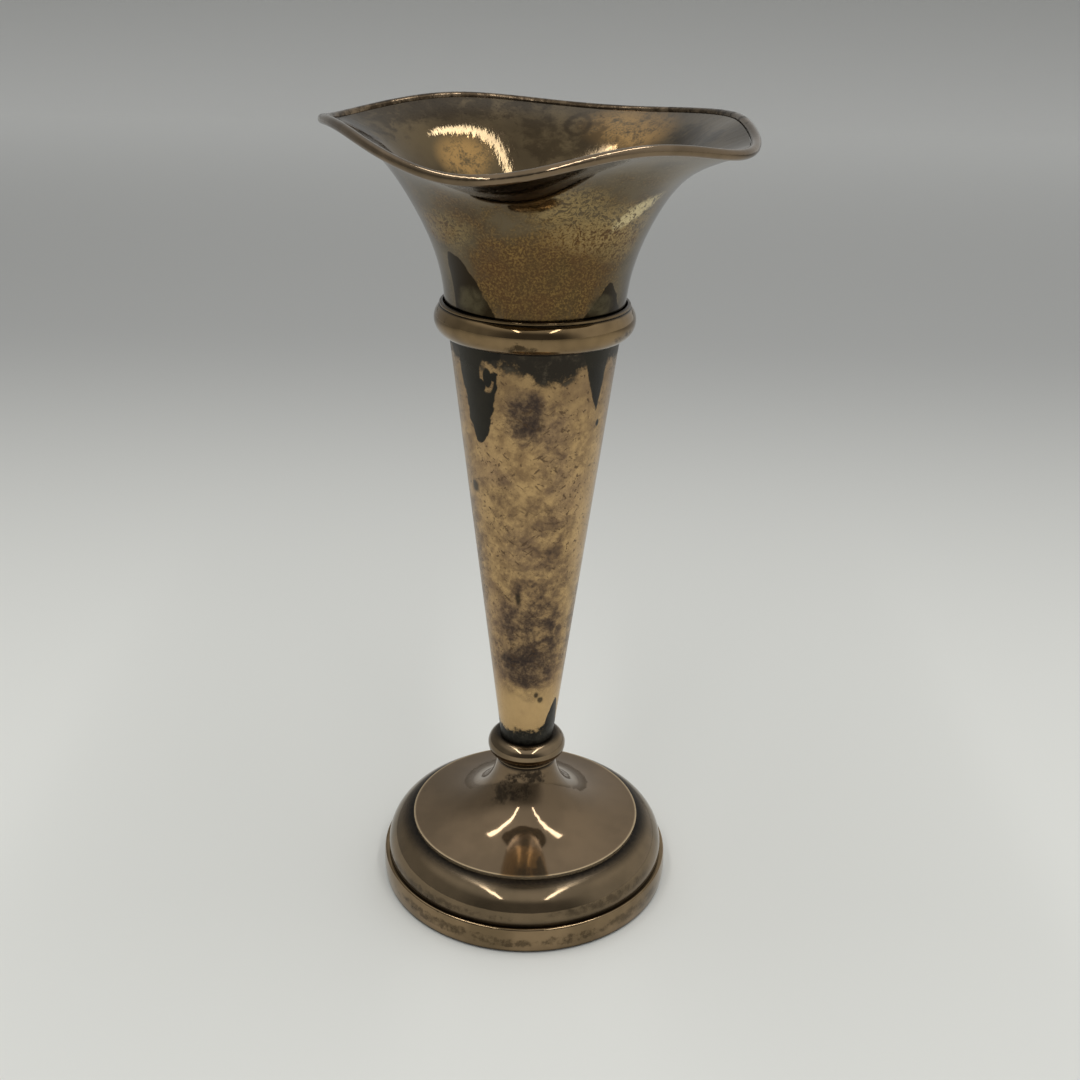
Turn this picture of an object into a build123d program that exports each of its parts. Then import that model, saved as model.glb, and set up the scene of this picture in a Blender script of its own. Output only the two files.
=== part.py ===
from build123d import *
from math import atan2, cos, hypot, radians, sin
import os

os.makedirs("parts", exist_ok=True)

# Sheet metal, joints and the felt
sheet = 0.8
solder_gap = 0.05
fill_gap = 0.4
felt_thickness = 1.0
felt_proud = 0.3

# Foot: base band, cushion ring and dome
foot_radius = 34.5
foot_wire_width = 2.6
foot_wire_height = 6.3
foot_wire_swell = 0.3
foot_wire_edge = 0.4
cushion_step = 1.0
cushion_height = 8.4
cushion_depth = 6.9
cushion_round_in = 2.0
cushion_round_share = 0.74
middle_share = 0.5
flange_width = 3.8
lip_overhang = 0.8
dome_height = 15.4
neck_radius = 7.0
dome_lip_tilt = 6.0
dome_neck_tilt = 84.0
dome_shares = (0.25, 0.45, 0.65, 0.85)

# Knop between foot and cone
knop_band_height = 0.9
knop_band_reach = 0.4
knop_bead_height = 5.6
knop_bead_reach = 2.3
knop_edge_radius = 6.95
knop_bore_radius = 3.0
socket_depth = 1.7

# Long cone and its floor
cone_base_radius = 6.05
cone_top_radius = 18.45
cone_length = 102.2
floor_thickness = 1.0

# Half-round collar with a thin bead on top, over the joint of cone and bell
collar_height = 6.3
collar_drop = 2.9
collar_swell = 2.75
collar_swell_share = 0.63
collar_foot_edge = 0.75
collar_step = 0.6
collar_bead_height = 0.7
collar_bead_reach = 0.1
collar_top_edge = 0.3
collar_clearance = 0.5
web_thickness = 0.8

# Bell: spreads are beyond its base, rises above its seat on the collar
bell_step = 0.4
waist_spread = 2.15
waist_rise = 13.6
throat_spread = 8.0
throat_rise = 25.6
lip_tilt_share = 0.55
wall_shares = (0, 0.15, 0.3, 0.45, 0.6, 0.75, 0.88, 1)
section_count = 24

# Rim wire: points of its centre line, round from the right, over crests and drooping lobes
rim_wire_radius = 1.0
rim_shares = (0, 0.17, 0.33, 0.5, 0.67, 0.83, 1)
half_turn = 180
rim_angles = (12, 40, 66, 92, 120, 160, 201, 257, 298, 330)
rim_spreads = (23.3, 25.0, 26.0, 24.6, 23.7, 26.0, 22.0, 27.2, 22.8, 25.2)
rim_rises = (39.4, 38.9, 38.0, 39.1, 40.3, 37.6, 39.1, 33.4, 38.0, 36.1)

# Heights of the seats, from the table up
cushion_z = felt_proud + foot_wire_height
flange_z = cushion_z + cushion_height
lip_z = flange_z + sheet
neck_z = lip_z + dome_height
band_top_z = neck_z + knop_band_height
knop_top_z = band_top_z + knop_bead_height
cone_z = knop_top_z - socket_depth
web_z = cone_z + cone_length
collar_z = web_z - collar_drop
collar_step_z = collar_z + collar_height
collar_top_z = collar_step_z + collar_bead_height
bell_z = web_z + web_thickness

# Radii and slopes that follow from the sizes above
cone_taper = (cone_top_radius - cone_base_radius) / cone_length
foot_inner_radius = foot_radius - foot_wire_width
cushion_radius = foot_radius - cushion_step
cushion_top_radius = cushion_radius - cushion_depth
flange_inner_radius = cushion_top_radius - flange_width
lip_radius = cushion_top_radius + lip_overhang
fill_radius = foot_inner_radius - fill_gap
bell_base_radius = cone_top_radius + bell_step
waist_radius = bell_base_radius + waist_spread
throat_radius = bell_base_radius + throat_spread
collar_bore_radius = bell_base_radius + collar_clearance
collar_foot_radius = cone_top_radius - cone_taper * collar_drop + solder_gap
collar_step_radius = collar_bore_radius + collar_step
lip_way = (-cos(radians(dome_lip_tilt)), sin(radians(dome_lip_tilt)))
neck_way = (-cos(radians(dome_neck_tilt)), sin(radians(dome_neck_tilt)))


def beside(line, share, depth):
    """Point at a share of a section line, moved to the line's left by a depth."""
    way = line % share
    return (line @ share) + Vector(-way.Y, way.X) * depth


def turned(point, angle):
    """Section point (radius, height) turned about the vase's axis."""
    return Vector(point.X * cos(angle), point.X * sin(angle), point.Y)


# Base band: a plain ring with a slightly swelling face
with BuildPart() as foot_wire:
    with BuildSketch(Plane.XZ):
        with BuildLine():
            band_face = ThreePointArc(
                (foot_radius, felt_proud),
                (foot_radius + foot_wire_swell, felt_proud + foot_wire_height / 2),
                (foot_radius, cushion_z),
            )
            Polyline(
                band_face @ 1,
                (foot_inner_radius, cushion_z),
                (foot_inner_radius, felt_proud),
                band_face @ 0,
            )
        make_face()
    revolve(axis=Axis.Z)
    band_rims = foot_wire.edges().filter_by(GeomType.CIRCLE).sort_by(SortBy.RADIUS)
    fillet(band_rims[-2:], radius=foot_wire_edge)
foot_wire.part.label = "foot_wire"
export_step(foot_wire.part, "parts/foot_wire.step")

# Cushion: a spun ring that ends in a flat flange under the dome
with BuildPart() as foot_cushion:
    with BuildSketch(Plane.XZ):
        with BuildLine():
            cushion_face = ThreePointArc(
                (cushion_radius, cushion_z),
                (cushion_radius - cushion_round_in, cushion_z + cushion_height * cushion_round_share),
                (cushion_top_radius, flange_z),
            )
            cushion_back = ThreePointArc(
                (cushion_radius - sheet, cushion_z),
                beside(cushion_face, middle_share, sheet),
                (cushion_top_radius, flange_z - sheet),
            )
            Line(cushion_face @ 0, cushion_back @ 0)
            Polyline(
                cushion_face @ 1,
                (flange_inner_radius, flange_z),
                (flange_inner_radius, flange_z - sheet),
                cushion_back @ 1,
            )
        make_face()
    revolve(axis=Axis.Z)
foot_cushion.part.label = "foot_cushion"
export_step(foot_cushion.part, "parts/foot_cushion.step")

# Dome: a spun disc that hollows from a thin lip up to the neck
with BuildPart() as foot_dome:
    with BuildSketch(Plane.XZ):
        with BuildLine():
            dome_face = Spline(
                (lip_radius, lip_z), (neck_radius, neck_z), tangents=[lip_way, neck_way]
            )
            dome_back = Spline(
                (flange_inner_radius, flange_z),
                *[beside(dome_face, share, sheet) for share in dome_shares],
                (neck_radius - sheet, neck_z),
            )
            Line(dome_face @ 1, dome_back @ 1)
            Polyline(dome_face @ 0, (lip_radius, flange_z), dome_back @ 0)
        make_face()
    revolve(axis=Axis.Z)
foot_dome.part.label = "foot_dome"
export_step(foot_dome.part, "parts/foot_dome.step")

# Loading: filler poured in from below, spread over the base band's ledge
with BuildPart() as loading:
    with BuildSketch(Plane.XZ):
        with BuildLine():
            cushion_fill = ThreePointArc(
                (cushion_radius - sheet - fill_gap, cushion_z),
                beside(cushion_face, middle_share, sheet + fill_gap),
                (cushion_top_radius, flange_z - sheet - fill_gap),
            )
            dome_fill = Spline(
                *[beside(dome_face, share, sheet + fill_gap) for share in dome_shares]
            )
            Polyline(
                cushion_fill @ 1,
                (flange_inner_radius - fill_gap, flange_z - sheet - fill_gap),
                dome_fill @ 0,
            )
            fill_top = dome_fill @ 1
            Polyline(
                fill_top,
                (0, fill_top.Y),
                (0, felt_thickness),
                (fill_radius, felt_thickness),
                (fill_radius, cushion_z),
                cushion_fill @ 0,
            )
        make_face()
    revolve(axis=Axis.Z)
loading.part.label = "loading"
export_step(loading.part, "parts/loading.step")

# Baize disc, let into the base band and just proud of it
with BuildPart() as base_felt:
    with BuildSketch():
        Circle(fill_radius)
    extrude(amount=felt_thickness)
base_felt.part.label = "base_felt"
export_step(base_felt.part, "parts/base_felt.step")

# Knop: a small band and a bead, with a tapered socket for the cone
with BuildPart() as knop_ring:
    with BuildSketch(Plane.XZ):
        with BuildLine():
            knop_band = ThreePointArc(
                (knop_edge_radius, neck_z),
                (knop_edge_radius + knop_band_reach, neck_z + knop_band_height / 2),
                (knop_edge_radius, band_top_z),
            )
            knop_bead = ThreePointArc(
                knop_band @ 1,
                (knop_edge_radius + knop_bead_reach, band_top_z + knop_bead_height / 2),
                (knop_edge_radius, knop_top_z),
            )
            Polyline(
                knop_bead @ 1,
                (cone_base_radius + cone_taper * socket_depth + solder_gap, knop_top_z),
                (cone_base_radius + solder_gap, cone_z),
                (knop_bore_radius, cone_z),
                (knop_bore_radius, neck_z),
                knop_band @ 0,
            )
        make_face()
    revolve(axis=Axis.Z)
knop_ring.part.label = "knop_ring"
export_step(knop_ring.part, "parts/knop_ring.step")

# Cone: a straight tapering tube
with BuildPart() as stem_cone:
    with BuildSketch(Plane.XZ):
        with BuildLine():
            Polyline(
                (cone_base_radius, cone_z),
                (cone_top_radius, web_z),
                (cone_top_radius - sheet, web_z),
                (cone_base_radius - sheet, cone_z),
                close=True,
            )
        make_face()
    revolve(axis=Axis.Z)
stem_cone.part.label = "stem_cone"
export_step(stem_cone.part, "parts/stem_cone.step")

# Floor that closes the bottom of the cone
with BuildPart() as cone_floor:
    with BuildSketch(Plane.XZ):
        with BuildLine():
            floor_radius = cone_base_radius - sheet - solder_gap
            Polyline(
                (0, cone_z),
                (floor_radius, cone_z),
                (floor_radius + cone_taper * floor_thickness, cone_z + floor_thickness),
                (0, cone_z + floor_thickness),
                close=True,
            )
        make_face()
    revolve(axis=Axis.Z)
cone_floor.part.label = "cone_floor"
export_step(cone_floor.part, "parts/cone_floor.step")

# Collar: a half-round ring under a thin bead, with a web inside that parts cone and bell
with BuildPart() as collar_moulding:
    with BuildSketch(Plane.XZ):
        with BuildLine():
            collar_face = ThreePointArc(
                (collar_foot_radius + collar_foot_edge, collar_z),
                (cone_top_radius + collar_swell, collar_z + collar_height * collar_swell_share),
                (collar_step_radius, collar_step_z),
            )
            collar_bead = ThreePointArc(
                collar_face @ 1,
                (collar_step_radius + collar_bead_reach, collar_step_z + collar_bead_height / 2),
                (collar_bore_radius + collar_top_edge, collar_top_z),
            )
            Polyline(
                collar_bead @ 1,
                (collar_bore_radius, collar_top_z),
                (collar_bore_radius, bell_z),
                (cone_top_radius - sheet, bell_z),
                (cone_top_radius - sheet, web_z),
                (cone_top_radius + solder_gap, web_z),
                (collar_foot_radius, collar_z),
                collar_face @ 0,
            )
        make_face()
    revolve(axis=Axis.Z)
collar_moulding.part.label = "collar_moulding"
export_step(collar_moulding.part, "parts/collar_moulding.step")

# Centre line of the rim wire: one closed curve through crests and lobes
rim_points = [
    turned(Vector(bell_base_radius + spread, bell_z + rise), radians(angle))
    for angle, spread, rise in zip(rim_angles, rim_spreads, rim_rises)
]
with BuildLine():
    rim_curve = Spline(*rim_points, periodic=True)

# Section lines of the bell, each flaring to its own point of the rim
bell_sections = []
for index in range(section_count):
    point = rim_curve @ (index / section_count)
    centre = Vector(hypot(point.X, point.Y), point.Z)
    chord_tilt = atan2(centre.Y - bell_z - throat_rise, centre.X - throat_radius)
    lip_tilt = chord_tilt * lip_tilt_share
    along = Vector(cos(lip_tilt), sin(lip_tilt))
    inward = Vector(-along.Y, along.X)
    lip = centre - along * (rim_wire_radius + solder_gap) - inward * (sheet / 2)
    with BuildLine():
        flare = Spline(
            (bell_base_radius, bell_z),
            (waist_radius, bell_z + waist_rise),
            (throat_radius, bell_z + throat_rise),
            lip,
            tangents=[(0, 1), along],
        )
    bell_sections.append((atan2(point.Y, point.X), flare, centre, along, inward))


def closed_ring(points):
    """Smooth closed wire through points round the vase."""
    with BuildLine() as ring:
        Spline(*points, periodic=True)
    return ring.wire()


def bell_skin(depth):
    """Face of the bell at a depth in its wall, lofted up through rings."""
    rings = []
    for share in wall_shares:
        points = [turned(beside(flare, share, depth), angle) for angle, flare, *_ in bell_sections]
        rings.append(closed_ring(points))
    return Solid.make_loft(rings).faces()[0]


def rim_skin(first_angle):
    """Half of the rim wire's face, lofted through rings round its section."""
    rings = []
    for share in rim_shares:
        swing = radians(first_angle + half_turn * share)
        points = []
        for angle, _, centre, along, inward in bell_sections:
            reach = along * cos(swing) + inward * sin(swing)
            points.append(turned(centre + reach * rim_wire_radius, angle))
        rings.append(closed_ring(points))
    return Solid.make_loft(rings).faces()[0]


def skin_rims(skin):
    """Bottom and top edge of a skin."""
    return skin.edges().filter_by(lambda edge: edge.is_closed).sort_by(Axis.Z)


# Bell: outer and inner skin, joined by the lip and the flat seat
outer_skin = bell_skin(0)
inner_skin = bell_skin(sheet)
outer_seat, outer_lip = skin_rims(outer_skin)
inner_seat, inner_lip = skin_rims(inner_skin)
lip_face = Face.make_surface_from_curves(outer_lip, inner_lip)
seat_face = Face(Wire(outer_seat), [Wire(inner_seat)])
with BuildPart() as bell:
    add(Solid(Shell([outer_skin, inner_skin, lip_face, seat_face])))
bell.part.label = "bell"
export_step(bell.part, "parts/bell.step")

# Rim wire: upper and lower half of its round face, closed into one ring
with BuildPart() as rim_wire:
    add(Solid(Shell([rim_skin(0), rim_skin(half_turn)])))
rim_wire.part.label = "rim_wire"
export_step(rim_wire.part, "parts/rim_wire.step")
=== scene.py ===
from math import atan2, cos, pi, radians, sin

import bpy
from mathutils import Matrix, Vector


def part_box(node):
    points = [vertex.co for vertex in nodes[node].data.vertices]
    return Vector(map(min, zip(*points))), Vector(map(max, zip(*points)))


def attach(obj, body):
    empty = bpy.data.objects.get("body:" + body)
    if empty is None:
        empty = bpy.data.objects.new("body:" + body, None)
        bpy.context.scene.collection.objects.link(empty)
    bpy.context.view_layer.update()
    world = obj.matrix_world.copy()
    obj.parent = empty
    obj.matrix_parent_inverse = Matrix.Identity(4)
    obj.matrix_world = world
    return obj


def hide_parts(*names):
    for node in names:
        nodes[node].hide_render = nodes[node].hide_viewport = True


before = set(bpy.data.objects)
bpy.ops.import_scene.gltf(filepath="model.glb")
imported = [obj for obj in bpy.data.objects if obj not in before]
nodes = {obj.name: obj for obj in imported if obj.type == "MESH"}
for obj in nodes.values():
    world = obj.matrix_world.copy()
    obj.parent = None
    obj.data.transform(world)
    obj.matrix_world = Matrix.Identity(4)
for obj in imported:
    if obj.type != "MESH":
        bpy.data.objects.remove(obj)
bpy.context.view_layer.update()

scene = bpy.context.scene
mm = 1000.0  # millimetres in a metre


def seen(red, green, blue):
    """Colour as it is seen, in screen values from 0 to 255, turned into light."""
    levels = [value / 255 for value in (red, green, blue)]
    light = [v / 12.92 if v <= 0.04045 else ((v + 0.055) / 1.055) ** 2.4 for v in levels]
    return (*light, 1.0)


class Ink:
    """One value, vector or colour of a material, with arithmetic on values."""

    def __init__(self, socket):
        self.socket = socket

    def node(self, kind, settings, sockets, output=0):
        """Adds a node of that type: its settings first, then its sockets' values or links."""
        tree = self.socket.id_data
        made = tree.nodes.new(kind)
        for name, value in settings.items():
            setattr(made, name, value)
        for name, value in sockets.items():
            if isinstance(value, Ink):
                tree.links.new(value.socket, made.inputs[name])
            else:
                made.inputs[name].default_value = value
        return Ink(made.outputs[output])

    def maths(self, operation, *values):
        return self.node("ShaderNodeMath", {"operation": operation}, dict(enumerate(values)))

    def __add__(self, other):
        return self.maths("ADD", self, other)

    def __radd__(self, other):
        return self.maths("ADD", other, self)

    def __sub__(self, other):
        return self.maths("SUBTRACT", self, other)

    def __rsub__(self, other):
        return self.maths("SUBTRACT", other, self)

    def __mul__(self, other):
        return self.maths("MULTIPLY", self, other)

    def __rmul__(self, other):
        return self.maths("MULTIPLY", other, self)

    def __truediv__(self, other):
        return self.maths("DIVIDE", self, other)

    def __pow__(self, other):
        return self.maths("POWER", self, other)

    def __abs__(self):
        return self.maths("ABSOLUTE", self)

    def either(self, other):
        """The larger of two masks."""
        return self.maths("MAXIMUM", self, other)

    def rise(self, low, high):
        """0 at low and 1 at high, with soft ends; low may be above high."""
        return self.node(
            "ShaderNodeMapRange",
            {"interpolation_type": "SMOOTHSTEP"},
            {"Value": self, "From Min": low, "From Max": high},
        )

    def stretched(self, x, y, z):
        """This place with its axes scaled apart."""
        return self.node("ShaderNodeVectorMath", {"operation": "MULTIPLY"}, {0: self, 1: (x, y, z)})

    def cloud(self, scale, seed, detail=4.0, roughness=0.6, distortion=0.0):
        """Noise from 0 to 1 at this place; scale counts per metre."""
        return self.node(
            "ShaderNodeTexNoise",
            {"noise_dimensions": "4D"},
            {
                "Vector": self,
                "W": seed,
                "Scale": scale,
                "Detail": detail,
                "Roughness": roughness,
                "Distortion": distortion,
            },
        )


def tinted(mask, under, over):
    """Colour under, covered by colour over as far as the mask says."""
    return mask.node("ShaderNodeMix", {"data_type": "RGBA"}, {0: mask, 6: under, 7: over}, 2)


class Surface:
    """A new material with its places: height and girth in millimetres, turn in degrees."""

    def __init__(self, name):
        self.material = bpy.data.materials.new(name)
        self.material.use_nodes = True
        tree = self.material.node_tree
        self.shader = tree.nodes["Principled BSDF"]
        self.place = Ink(tree.nodes.new("ShaderNodeTexCoord").outputs["Object"])
        parts = tree.nodes.new("ShaderNodeSeparateXYZ")
        tree.links.new(self.place.socket, parts.inputs[0])
        self.x, self.y, self.z = (Ink(parts.outputs[axis]) for axis in "XYZ")
        self.height = self.z * mm
        self.girth = (self.x * self.x + self.y * self.y) ** 0.5 * mm
        self.turn = self.x.maths("ARCTAN2", self.x, self.y * -1.0) * (180 / pi)

    def around(self, turn):
        """Degrees from a turn, the short way round."""
        return self.turn.maths("WRAP", self.turn - turn, 180.0, -180.0)

    def inner_side(self):
        """1 where a flaring wall faces its axis and 0 where it faces out."""
        facing = self.place.node("ShaderNodeNewGeometry", {}, {}, "Normal")
        parts = facing.node("ShaderNodeSeparateXYZ", {}, {0: facing}).socket.node
        across, along, up = (Ink(parts.outputs[axis]) for axis in "XYZ")
        outward = (self.x * across + self.y * along) * mm / self.girth
        return (up - outward).rise(-0.05, 0.05)

    def patch(self, turn, height, wide, tall, seed, ragged, grain=260.0, slope=0.0, edge=0.12):
        """Ragged spot, its half sizes in degrees and millimetres, its slope in millimetres a degree."""
        aside = self.around(turn)
        along = aside / wide
        up = (self.height - height - aside * slope) / tall
        wobble = (self.place.cloud(grain, seed, detail=5.0, roughness=0.65) - 0.5) * (ragged * 2.0)
        return ((along * along + up * up) ** 0.5 + wobble).rise(1.0 + edge, 1.0 - edge)

    def smudge(self, turn, height, wide, tall):
        """Soft cloud, 1 in its middle, that fades out past its half sizes."""
        along = self.around(turn) / wide
        up = (self.height - height) / tall
        return (along * along + up * up).rise(2.4, 0.0)

    def tongue(self, tip_turn, tip, root_turn, root, half, seed, roundness=0.6):
        """Tongue with sharp edges from a broad root to its tip."""
        share = (self.height - tip) / (root - tip)
        wobble = (self.place.cloud(240.0, seed, detail=4.0) - 0.5) * (half * 0.5)
        width = share.maths("MAXIMUM", share, 0.0) ** roundness * half
        aside = abs(self.around(tip_turn) - share * (root_turn - tip_turn) + wobble) - width
        return aside.rise(0.6, -0.6) * share.rise(-0.01, 0.02)

    def groove(self, height, half):
        """Mask of a dark line round the piece at a height."""
        return abs(self.height - height).rise(half, 0.0)

    def dashes(self, lean, long, thin, seed, rarity):
        """Short scratches that lean by degrees from level, their sizes in millimetres."""
        sizes = (long / mm, thin / mm, thin / mm)
        laid = self.place.node(
            "ShaderNodeMapping",
            {"vector_type": "TEXTURE"},
            {"Vector": self.place, "Rotation": (0, radians(lean), 0), "Scale": sizes},
        )
        return laid.cloud(1.0, seed, detail=2.0).rise(rarity, rarity + 0.06)

    def feed(self, name, value):
        """Links a varying value to the shader's socket, or sets a plain one there."""
        socket = self.shader.inputs[name]
        if isinstance(value, Ink):
            self.material.node_tree.links.new(value.socket, socket)
        else:
            socket.default_value = value

    def finish(self, colour, roughness, metallic, bump=None, depth=0.0):
        """Connects the shader and returns the material."""
        self.feed("Base Color", colour)
        self.feed("Roughness", roughness)
        self.feed("Metallic", metallic)
        if bump is not None:
            raised = bump.node("ShaderNodeBump", {}, {"Height": bump, "Strength": 0.6, "Distance": depth})
            self.feed("Normal", raised)
        return self.material


# Tarnished silver of the long cone: tan gold satin, purple-brown clouds and dark tongues
def cone_finish():
    s = Surface("tarnished_cone")
    broad = s.place.cloud(55.0, 1.3, detail=3.0)
    mottle = s.place.cloud(280.0, 2.9, detail=8.0, roughness=0.74, distortion=0.15)
    grain = s.place.cloud(1500.0, 4.1, detail=4.0, roughness=0.7)
    # Tan ground, lighter near the knop, duller under the collar
    colour = tinted(mottle.rise(0.36, 0.62), seen(194, 161, 111), seen(142, 114, 79))
    colour = tinted(broad.rise(0.42, 0.62) * 0.5, colour, seen(160, 131, 102))
    colour = tinted(s.height.rise(57.0, 49.0) * 0.7, colour, seen(212, 178, 124))
    colour = tinted(s.height.rise(114.0, 131.0) * 0.5, colour, seen(124, 100, 68))
    colour = tinted(s.smudge(62, 90, 15, 24) * 0.35, colour, seen(214, 182, 128))
    # Purple-brown clouds: turn, height, half width, half height and strength of each
    bloom = s.smudge(-5, 121.5, 16, 6)
    for turn, height, wide, tall, strength in (
        (14, 119, 14, 7, 0.62),
        (26, 109, 18, 10, 0.55),
        (-24, 101, 26, 8, 0.45),
        (8, 92, 38, 12, 0.55),
        (10, 78, 42, 12, 0.7),
        (4, 67, 50, 14, 0.85),
        (-4, 60.5, 44, 7, 1.0),
        (168, 112, 60, 18, 0.8),
        (120, 70, 60, 18, 0.8),
        (-122, 86, 60, 22, 0.75),
    ):
        bloom = bloom.either(s.smudge(turn, height, wide, tall) * strength)
    clouds = (bloom + (mottle - 0.5) * 1.9 + (broad - 0.5) * 0.5).rise(0.1, 1.25)
    colour = tinted(clouds * 0.95, colour, seen(86, 69, 59))
    core = (bloom + (mottle - 0.5) * 2.0 + (grain - 0.5)).rise(0.6, 1.25)
    colour = tinted(core * 0.9, colour, seen(50, 40, 35))
    # Scratches and pits, none near the knop
    marks = s.dashes(34, 3.2, 0.65, 6.6, 0.6).either(s.dashes(-40, 2.6, 0.6, 7.4, 0.62))
    dots = s.place.cloud(620.0, 8.7, detail=2.0).rise(0.69, 0.74)
    scars = marks.either(dots) * broad.rise(0.32, 0.46) * s.height.rise(50.0, 62.0)
    colour = tinted(scars * 0.8, colour, seen(84, 64, 44))
    # Dark tongues under the collar, with a bare curl in the left one
    dark_tongues = s.tongue(-44, 114.3, -41, 136, 20.0, 11.0, roundness=0.45)
    hook = s.patch(-33.5, 129.7, 5.8, 3.4, 18.0, 0.15)
    gaps = s.patch(-33.0, 129.4, 3.6, 2.1, 19.0, 0.2).either(s.patch(-39.0, 127.6, 4.2, 1.3, 26.0, 0.2))
    gaps = gaps.either(s.patch(-28.4, 129.8, 3.0, 0.9, 28.0, 0.2))
    hook = hook * (1.0 - gaps)
    dark_tongues = dark_tongues * (1.0 - hook.either(s.patch(-24, 132.2, 7.5, 1.4, 27.0, 0.3)))
    dark_tongues = dark_tongues.either(s.tongue(52, 121.6, 46, 135, 12.0, 12.0, roundness=0.8))
    dark_tongues = dark_tongues.either(s.patch(57, 118.6, 2.2, 0.8, 24.0, 0.3, edge=0.2))
    # Crust along the collar, single spots, soil along the knop
    crust = (s.height + (mottle - 0.5) * 13.0 + s.smudge(11, 131, 16, 8) * 3.0).rise(130.6, 133.0)
    colour = tinted(crust, colour, tinted(mottle.rise(0.5, 0.7), seen(44, 38, 29), seen(92, 82, 66)))
    spots = s.patch(14, 52.0, 4, 0.8, 21.0, 0.5, edge=0.4)
    spots = spots.either(s.patch(22, 50.5, 5, 0.8, 22.0, 0.5, edge=0.4))
    spots = spots.either(s.patch(-58, 103.5, 5, 1.4, 23.0, 0.5, edge=0.4))
    spots = spots.either(s.patch(-13, 78.0, 3, 1.6, 25.0, 0.7, edge=0.6)) * 0.85
    ink = tinted(broad.rise(0.4, 0.6), seen(27, 24, 17), seen(41, 37, 27))
    colour = tinted(dark_tongues.either(spots), colour, ink)
    stain = s.tongue(58, 49.5, 50, 37, 27.0, 17.0)
    grime = (s.height + (mottle - 0.5) * 14.0).rise(42.6, 40.8)
    soil = stain.either(grime)
    colour = tinted(soil, colour, tinted(mottle.rise(0.4, 0.62), seen(33, 31, 26), seen(64, 62, 55)))
    # Plain dull wall inside
    dull = tinted(mottle.rise(0.4, 0.62), seen(98, 84, 62), seen(68, 58, 44))
    colour = tinted(s.inner_side(), colour, dull)
    roughness = 0.2 + clouds * 0.12 + grain * 0.08 + crust.either(soil) * 0.15
    return s.finish(colour, roughness, 0.7, grain - marks * 0.4, 0.00003)


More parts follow.
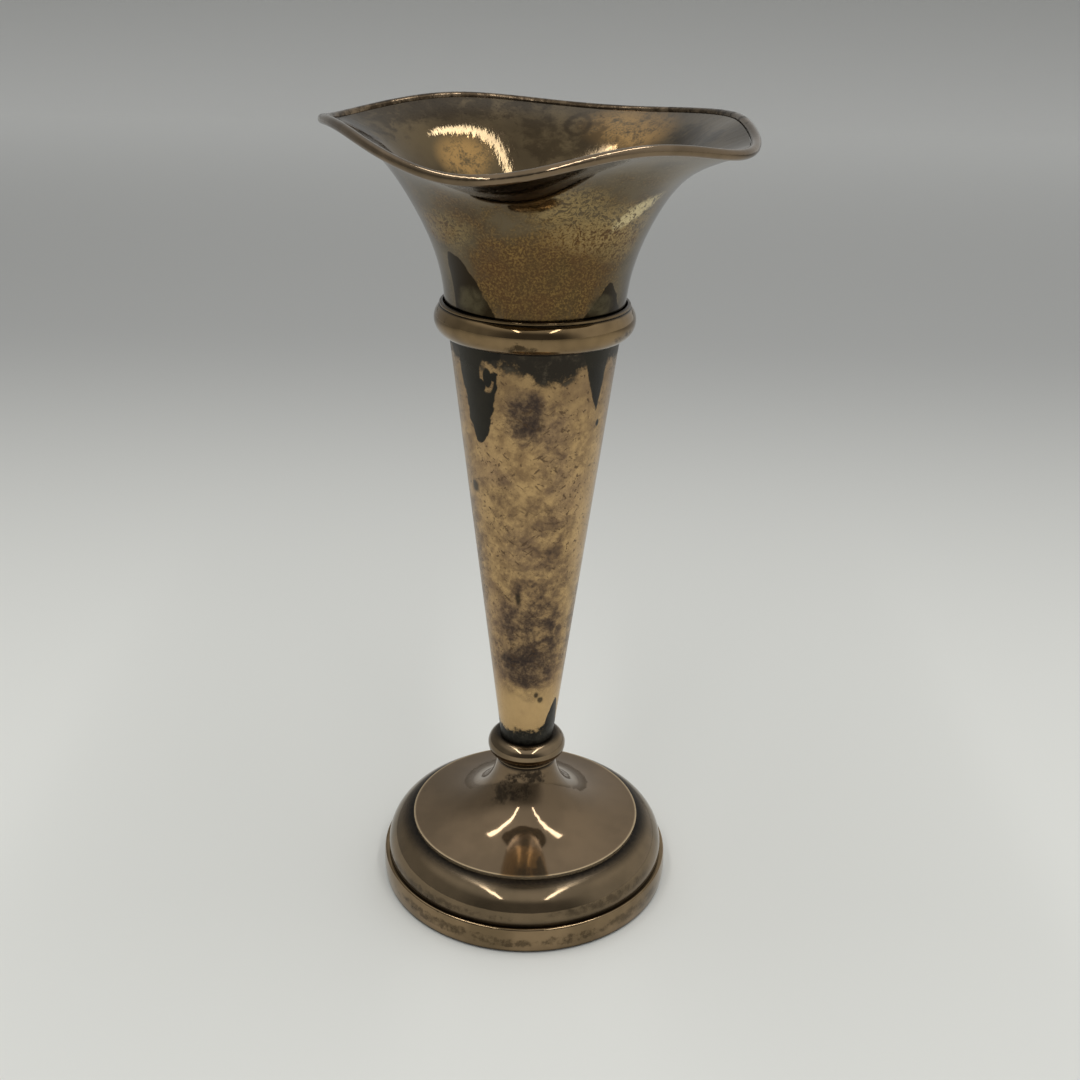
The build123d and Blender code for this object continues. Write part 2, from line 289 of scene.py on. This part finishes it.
# Tarnished silver of the bell: olive brown outside with a speckled gold band, bronze inside
def bell_finish():
    s = Surface("tarnished_bell")
    inside = s.inner_side()
    broad = s.place.cloud(60.0, 2.2, detail=3.0)
    mottle = s.place.cloud(260.0, 7.7, detail=6.0, roughness=0.7, distortion=0.5)
    grain = s.place.cloud(1700.0, 5.3, detail=4.0, roughness=0.75)
    speck = s.place.cloud(2100.0, 9.4, detail=4.0, roughness=0.7)
    # Outside: olive brown with a fine bloom, and the gold band round its waist
    outer = tinted(broad.rise(0.38, 0.62), seen(106, 94, 74), seen(84, 74, 58))
    bloom = speck.rise(0.46, 0.62) * mottle.rise(0.36, 0.6)
    outer = tinted(bloom * 0.5, outer, seen(134, 119, 93))
    band = s.smudge(4, 150, 42, 10).either(s.smudge(22, 157, 34, 5) * 0.95)
    band = band.either(s.smudge(-54, 159, 16, 3) * 0.7).either(s.smudge(0, 163, 70, 9) * 0.5)
    band = band.either(s.smudge(172, 152, 70, 10))
    band = (band + (mottle - 0.5) * 1.3).rise(0.2, 0.95)
    outer = tinted(band * 0.85, outer, tinted(broad.rise(0.42, 0.6), seen(84, 66, 41), seen(92, 66, 42)))
    rich = s.smudge(-3, 158, 24, 3.6).either(s.smudge(4, 149, 34, 8) * 0.55)
    gilt = band * speck.rise(0.44, 0.64) * (0.25 + mottle.rise(0.42, 0.6) * 0.5 + rich * 0.4)
    outer = tinted(gilt, outer, seen(138, 111, 66))
    # Cream lace and its thick streak on the right
    swirl = s.place.cloud(620.0, 3.9, detail=4.0, roughness=0.6, distortion=1.4)
    strands = abs(swirl - 0.5).rise(0.1, 0.02)
    lace = s.smudge(34, 160.6, 26, 4.2).either(s.smudge(12, 165.6, 14, 3.4))
    lace = lace.either(s.smudge(46, 157, 14, 3) * 0.7).either(s.smudge(-50, 159.4, 16, 3) * 0.6)
    lace = strands * lace * grain.rise(0.36, 0.5)
    outer = tinted(lace * 0.7, outer, seen(170, 146, 98))
    streak = s.patch(46, 163.6, 10, 2.0, 4.5, 0.8, grain=700.0, slope=0.22, edge=0.4)
    outer = tinted(streak * strands.either(speck.rise(0.5, 0.58)), outer, seen(208, 191, 146))
    # Dark tongues that rise from the collar, washed out in their middles
    sail = s.tongue(-51, 154.6, -40, 139, 21.0, 7.5, roundness=0.55) * s.turn.rise(-57.5, -56.5)
    hump = s.tongue(48, 149.2, 47, 139, 23.0, 8.5, roundness=0.8)
    outer = tinted(sail.either(hump), outer, seen(44, 36, 24))
    washed = s.patch(-42, 145.0, 10, 2.6, 7.9, 0.5, edge=0.4)
    washed = washed.either(s.patch(43, 144.6, 10, 2.0, 8.9, 0.5, edge=0.3))
    outer = tinted(washed * 0.8, outer, tinted(mottle.rise(0.4, 0.6), seen(66, 59, 44), seen(90, 82, 62)))
    # Inside: bronze with sooty places, a golden patch on the right and a painted gold reflection on the
    # left
    inner = tinted(broad.rise(0.38, 0.64), seen(108, 93, 69), seen(84, 72, 54))
    # Painted reflection: the left patch at turn -145 is a gold reflection painted below the lamp
    # highlight; the right one is a golden patch
    glow = s.smudge(145, 174, 16, 3).either(s.smudge(-145, 168, 11, 3.4))
    glow = glow * (mottle + grain * 0.6).rise(0.62, 0.86)
    inner = tinted(glow * 0.8, inner, seen(200, 158, 99))
    soot = s.smudge(170, 171, 24, 5).either(s.smudge(-138, 178, 50, 3.4))
    soot = soot.either(s.smudge(108, 174.4, 18, 2.4)).either(s.smudge(-112, 175.5, 20, 4) * 0.8)
    soot = (soot + (mottle - 0.5) * 3.2).rise(0.5, 1.1)
    inner = tinted(soot * 0.75, inner, seen(60, 50, 37))
    ring = abs(s.patch(166, 174.0, 4.0, 1.8, 13.0, 0.2, edge=0.6) - 0.5).rise(0.4, 0.1)
    inner = tinted(ring * 0.6, inner, seen(56, 46, 34))
    inner = tinted(s.height.rise(171.0, 178.0) * grain.rise(0.54, 0.62) * 0.7, inner, seen(48, 39, 28))
    colour = tinted(inside, outer, inner)
    dots = s.place.cloud(1100.0, 12.4, detail=2.0).rise(0.68, 0.74)
    colour = tinted(dots * 0.5, colour, seen(50, 39, 26))
    roughness = 0.04 + band.rise(0.3, 1.0) * (1.0 - inside) * 0.24 + grain * 0.03 + inside * soot * 0.1
    roughness = roughness + bloom * (1.0 - inside) * 0.12
    # Faint flutes that run up the inside: noise by the direction from the axis, drawn out in height
    drawn_out, fineness = 0.02, 30000.0
    rays = {0: s.x / s.girth, 1: s.y / s.girth, 2: s.z * drawn_out}
    flutes = s.x.node("ShaderNodeCombineXYZ", {}, rays).cloud(fineness, 7.1, detail=2.0)
    return s.finish(colour, roughness, 1.0, grain * 0.3 + flutes * inside * 1.8, 0.00003)


# Tarnished silver of rings and foot: polished bronze brown, with painted shade in its grooves and joints,
# partly dark patina.
# Smears give turn, height, half width, half height and strength; the last argument is the radius of an
# edge painted lighter as a highlight.
def turned_finish(name, light, dark, seed, grooves=(), speckle=0.66, smears=(), metallic=1.0, lit_edge=None):
    s = Surface(name)
    broad = s.place.cloud(80.0, seed, detail=3.0)
    grain = s.place.cloud(1300.0, seed + 1.7, detail=5.0, roughness=0.7)
    flecks = s.place.cloud(420.0, seed + 3.1, detail=6.0, roughness=0.72)
    soil = flecks.rise(speckle, speckle + 0.1) * 0.75
    for turn, height, wide, tall, strength in smears:
        smear = s.smudge(turn, height, wide, tall) + (flecks - 0.5) * 3.0
        soil = soil.either(smear.rise(0.6, 1.2) * strength)
    colour = tinted(broad.rise(0.35, 0.65), light, dark)
    colour = tinted(soil, colour, seen(44, 35, 25))
    # Painted highlight: the edge is painted lighter where it catches the light
    if lit_edge is not None:
        edge_highlight = s.girth.rise(lit_edge - 0.6, lit_edge - 0.1) * (0.4 + flecks * 0.8)
        colour = tinted(edge_highlight, colour, seen(214, 190, 154))
    roughness = 0.05 + soil * 0.35 + grain * 0.05
    # Painted shade: near-black lines in the grooves and joints, partly dark patina
    for height, half in grooves:
        line = s.groove(height, half)
        colour = tinted(line * (0.75 + grain * 0.5), colour, seen(22, 18, 13))
        roughness = roughness + line * 0.3
    return s.finish(colour, roughness, metallic, broad, 0.00012)


# Pitch inside the foot
def pitch_finish():
    s = Surface("pitch")
    lumps = s.place.cloud(220.0, 3.0, detail=6.0)
    colour = tinted(lumps.rise(0.3, 0.7), seen(40, 36, 32), seen(70, 63, 54))
    return s.finish(colour, 0.6 + lumps * 0.25, 0.0, lumps, 0.0005)


# Green baize: matted wool, worn paler where it slides
def baize_finish():
    s = Surface("green_baize")
    fibres = s.place.stretched(1.0, 1.0, 0.2).cloud(2600.0, 6.0, detail=5.0, roughness=0.75)
    wear = s.place.cloud(60.0, 9.0)
    colour = tinted(fibres.rise(0.3, 0.7), seen(18, 62, 40), seen(40, 96, 64))
    colour = tinted(wear.rise(0.5, 0.75) * 0.35, colour, seen(96, 120, 92))
    return s.finish(colour, 0.85 + fibres * 0.12, 0.0, fibres, 0.0003)


bell_metal = bell_finish()
cone_metal = cone_finish()
rim_metal = turned_finish(
    "tarnished_rim",
    seen(130, 112, 90),
    seen(106, 91, 72),
    41.0,
    smears=((-150, 179, 50, 8, 0.85), (150, 179, 60, 8, 0.85)),
)
collar_metal = turned_finish(
    "tarnished_collar",
    seen(142, 119, 87),
    seen(109, 91, 66),
    47.0,
    grooves=((135.3, 0.7), (141.6, 0.4), (142.5, 0.7)),
    speckle=0.6,
    smears=((-8, 137.0, 9, 1.0, 0.8), (62, 137.4, 14, 1.2, 0.7), (160, 139.0, 40, 1.6, 0.8)),
)
knop_metal = turned_finish(
    "tarnished_knop",
    seen(140, 121, 96),
    seen(112, 97, 77),
    53.0,
    grooves=((32.1, 0.5), (31.2, 0.5), (37.9, 0.9)),
    speckle=0.6,
)
# Dome: its lip edge gets a painted highlight, a lighter colour where it catches the light
dome_metal = turned_finish(
    "tarnished_dome",
    seen(128, 108, 84),
    seen(115, 97, 75),
    59.0,
    grooves=((31.2, 1.0),),
    metallic=0.8,
    lit_edge=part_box("foot_dome")[1][0] * mm,
    smears=(
        (-20, 27.0, 30, 3.6, 0.9),
        (4, 29.0, 40, 2.0, 0.9),
        (-42, 24.4, 16, 2.6, 0.85),
        (150, 26.0, 40, 4.0, 0.85),
    ),
)
cushion_metal = turned_finish(
    "tarnished_cushion",
    seen(126, 108, 84),
    seen(108, 93, 72),
    59.0,
    grooves=((6.6, 1.8), (15.0, 1.6)),
    speckle=0.68,
    smears=((40, 9.4, 30, 1.2, 0.5), (-40, 8.6, 40, 1.0, 0.5), (-150, 9.6, 60, 1.4, 0.6)),
    metallic=0.85,
)
band_metal = turned_finish(
    "tarnished_band",
    seen(148, 126, 97),
    seen(122, 104, 79),
    61.0,
    grooves=((0.3, 0.8),),
    speckle=0.62,
    smears=(
        (-35, 3.6, 30, 1.5, 0.6),
        (-8, 3.0, 14, 1.4, 0.6),
        (18, 3.2, 16, 1.5, 0.6),
        (52, 3.6, 26, 1.5, 0.5),
        (160, 3.5, 50, 2.0, 0.6),
        (-120, 3.5, 40, 1.8, 0.6),
    ),
)

for node, material in {
    "bell": bell_metal,
    "rim_wire": rim_metal,
    "collar_moulding": collar_metal,
    "stem_cone": cone_metal,
    "cone_floor": cone_metal,
    "knop_ring": knop_metal,
    "foot_dome": dome_metal,
    "foot_cushion": cushion_metal,
    "foot_wire": band_metal,
    "loading": pitch_finish(),
}.items():
    nodes[node].data.materials.clear()
    nodes[node].data.materials.append(material)


# Felt under the foot, grown by a node tree from its radius and thickness
def felt_tree(material):
    tree = bpy.data.node_groups.new("felt_disc", "GeometryNodeTree")
    tree.interface.new_socket("Geometry", in_out="OUTPUT", socket_type="NodeSocketGeometry")
    sizes = {}
    for name in ("Radius", "Thickness", "Unevenness"):
        entry = tree.interface.new_socket(name, in_out="INPUT", socket_type="NodeSocketFloat")
        sizes[name] = entry.identifier
    edge_points, wall_rows, face_rings = 96, 2, 14
    wave_seed, waves_per_metre = 7.0, 260.0
    given = tree.nodes.new("NodeGroupInput")
    disc = tree.nodes.new("GeometryNodeMeshCylinder")
    disc.inputs["Vertices"].default_value = edge_points
    disc.inputs["Side Segments"].default_value = wall_rows
    disc.inputs["Fill Segments"].default_value = face_rings
    tree.links.new(given.outputs["Radius"], disc.inputs["Radius"])
    tree.links.new(given.outputs["Thickness"], disc.inputs["Depth"])
    waves = tree.nodes.new("ShaderNodeTexNoise")
    waves.noise_dimensions = "4D"
    waves.inputs["W"].default_value = wave_seed
    waves.inputs["Scale"].default_value = waves_per_metre
    sink = tree.nodes.new("ShaderNodeMath")
    sink.operation = "MULTIPLY"
    tree.links.new(waves.outputs[0], sink.inputs[0])
    tree.links.new(given.outputs["Unevenness"], sink.inputs[1])
    normal = tree.nodes.new("GeometryNodeInputNormal")
    inward = tree.nodes.new("ShaderNodeVectorMath")
    inward.operation = "SCALE"
    tree.links.new(normal.outputs[0], inward.inputs[0])
    tree.links.new(sink.outputs[0], inward.inputs["Scale"])
    moved = tree.nodes.new("GeometryNodeSetPosition")
    tree.links.new(disc.outputs["Mesh"], moved.inputs["Geometry"])
    tree.links.new(inward.outputs[0], moved.inputs["Offset"])
    half = tree.nodes.new("ShaderNodeMath")
    half.operation = "DIVIDE"
    half.inputs[1].default_value = 2.0
    tree.links.new(given.outputs["Thickness"], half.inputs[0])
    lift = tree.nodes.new("ShaderNodeCombineXYZ")
    tree.links.new(half.outputs[0], lift.inputs["Z"])
    placed = tree.nodes.new("GeometryNodeTransform")
    tree.links.new(moved.outputs[0], placed.inputs["Geometry"])
    tree.links.new(lift.outputs[0], placed.inputs["Translation"])
    whole = tree.nodes.new("GeometryNodeRealizeInstances")
    tree.links.new(placed.outputs[0], whole.inputs[0])
    dyed = tree.nodes.new("GeometryNodeSetMaterial")
    dyed.inputs["Material"].default_value = material
    tree.links.new(whole.outputs[0], dyed.inputs["Geometry"])
    out = tree.nodes.new("NodeGroupOutput")
    tree.links.new(dyed.outputs[0], out.inputs[0])
    return tree, sizes


def grown(name, tree, values):
    """Plain mesh object made by a node tree with its inputs set."""
    holder = bpy.data.objects.new(name + "_maker", bpy.data.meshes.new(name + "_maker"))
    scene.collection.objects.link(holder)
    maker = holder.modifiers.new("maker", "NODES")
    maker.node_group = tree
    for identifier, value in values.items():
        maker[identifier] = value
    shown = holder.evaluated_get(bpy.context.evaluated_depsgraph_get())
    piece = bpy.data.objects.new(name, bpy.data.meshes.new_from_object(shown))
    piece.data.name = name
    bpy.data.objects.remove(holder)
    scene.collection.objects.link(piece)
    return piece


felt_low, felt_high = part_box("base_felt")
felt_radius = (felt_high[0] - felt_low[0]) / 2
tree, sizes = felt_tree(baize_finish())
felt = grown(
    "felt_disc",
    tree,
    {
        sizes["Radius"]: felt_radius,
        sizes["Thickness"]: felt_high[2] - felt_low[2],
        sizes["Unevenness"]: -0.00012,
    },
)
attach(felt, "root")
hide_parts("base_felt")


# Pale floor that runs back into a backdrop, painted greyer further back as shade where the light falls
# off, then lighter again towards the backdrop
def floor_finish():
    s = Surface("studio_floor")
    # Painted shade: the floor darkens away from the vase as the light falls off
    colour = tinted(s.y.rise(0.0, 0.55), seen(229, 229, 224), seen(174, 174, 172))
    colour = tinted(s.y.rise(0.6, 2.0), colour, seen(210, 210, 208))
    return s.finish(colour, 0.6, 0.0)


floor_reach, turn_start, turn_radius, half_width = 8.0, 1.8, 0.3, 1.2
corners = [(x, -floor_reach, 0) for x in (-floor_reach, floor_reach)]
corners += [(x, turn_start, 0) for x in (floor_reach, -floor_reach)]
panels = [(0, 1, 2, 3)]
cove_steps = 12
for step in range(cove_steps + 1):
    angle = pi / 2 * step / cove_steps
    depth, rise = turn_start + turn_radius * sin(angle), turn_radius * (1 - cos(angle))
    corners += [(-half_width, depth, rise), (half_width, depth, rise)]
panels += [(i, i + 1, i + 3, i + 2) for i in range(4, len(corners) - 2, 2)]
floor_mesh = bpy.data.meshes.new("studio_floor")
floor_mesh.from_pydata(corners, [], panels)
floor_mesh.shade_smooth()
floor_mesh.materials.append(floor_finish())
floor = bpy.data.objects.new("studio_floor", floor_mesh)
scene.collection.objects.link(floor)

# White surroundings, dimmer on the left, open and dark towards the camera
world = bpy.data.worlds.new("studio")
scene.world = world
world.use_nodes = True
sky = world.node_tree
ways = sky.nodes.new("ShaderNodeSeparateXYZ")
sky.links.new(sky.nodes.new("ShaderNodeTexCoord").outputs["Generated"], ways.inputs[0])
to_right, to_back, to_top = (Ink(ways.outputs[axis]) for axis in "XYZ")
walls = tinted(to_right.rise(-0.8, 0.8), seen(146, 147, 146), seen(208, 209, 208))
walls = tinted(to_top.rise(0.5, 0.85), walls, seen(222, 223, 222))
opening = to_back.rise(-0.45, -0.9) * to_top.rise(0.8, 0.5)
walls = tinted(opening, walls, seen(98, 98, 98))
sky.links.new(walls.socket, sky.nodes["Background"].inputs["Color"])


# Strip lamps overhead, leaning in towards the vase; the glow is the brightness of a lamp's face
def lamp(name, place, width, height, glow):
    light = bpy.data.lights.new(name, "AREA")
    light.shape = "RECTANGLE"
    light.size = width
    light.size_y = height
    light.energy = glow * pi * width * height
    lamp_object = bpy.data.objects.new(name, light)
    lamp_object.location = place
    lamp_object.rotation_euler = (0, atan2(place[0], place[2]), 0)
    scene.collection.objects.link(lamp_object)


strip_width, strip_length, strip_glow = 0.055, 1.1, 10.0
for name, side in (("left_strip", -0.3), ("right_strip", 0.3)):
    lamp(name, (side, -0.28, 0.85), strip_width, strip_length, strip_glow)

# Camera where the photograph was taken
frame_pixels, focal_pixels = 1080, 1303
stand = (0, -0.2700, 0.2037)
pitch, yaw, roll = radians(23.25), radians(0.45), radians(-1.31)
level_right = Vector((cos(yaw), -sin(yaw), 0))
level_up = Vector((sin(yaw) * sin(pitch), cos(yaw) * sin(pitch), cos(pitch)))
forward = Vector((sin(yaw) * cos(pitch), cos(yaw) * cos(pitch), -sin(pitch)))
right = cos(roll) * level_right - sin(roll) * level_up
up = sin(roll) * level_right + cos(roll) * level_up
eye = bpy.data.cameras.new("camera")
eye.sensor_width = 36.0
eye.lens = focal_pixels / frame_pixels * eye.sensor_width
camera = bpy.data.objects.new("camera", eye)
turned = Matrix((right, up, -forward)).transposed().to_4x4()
camera.matrix_world = Matrix.Translation(stand) @ turned
scene.collection.objects.link(camera)
scene.camera = camera
scene.view_settings.view_transform = "Standard"
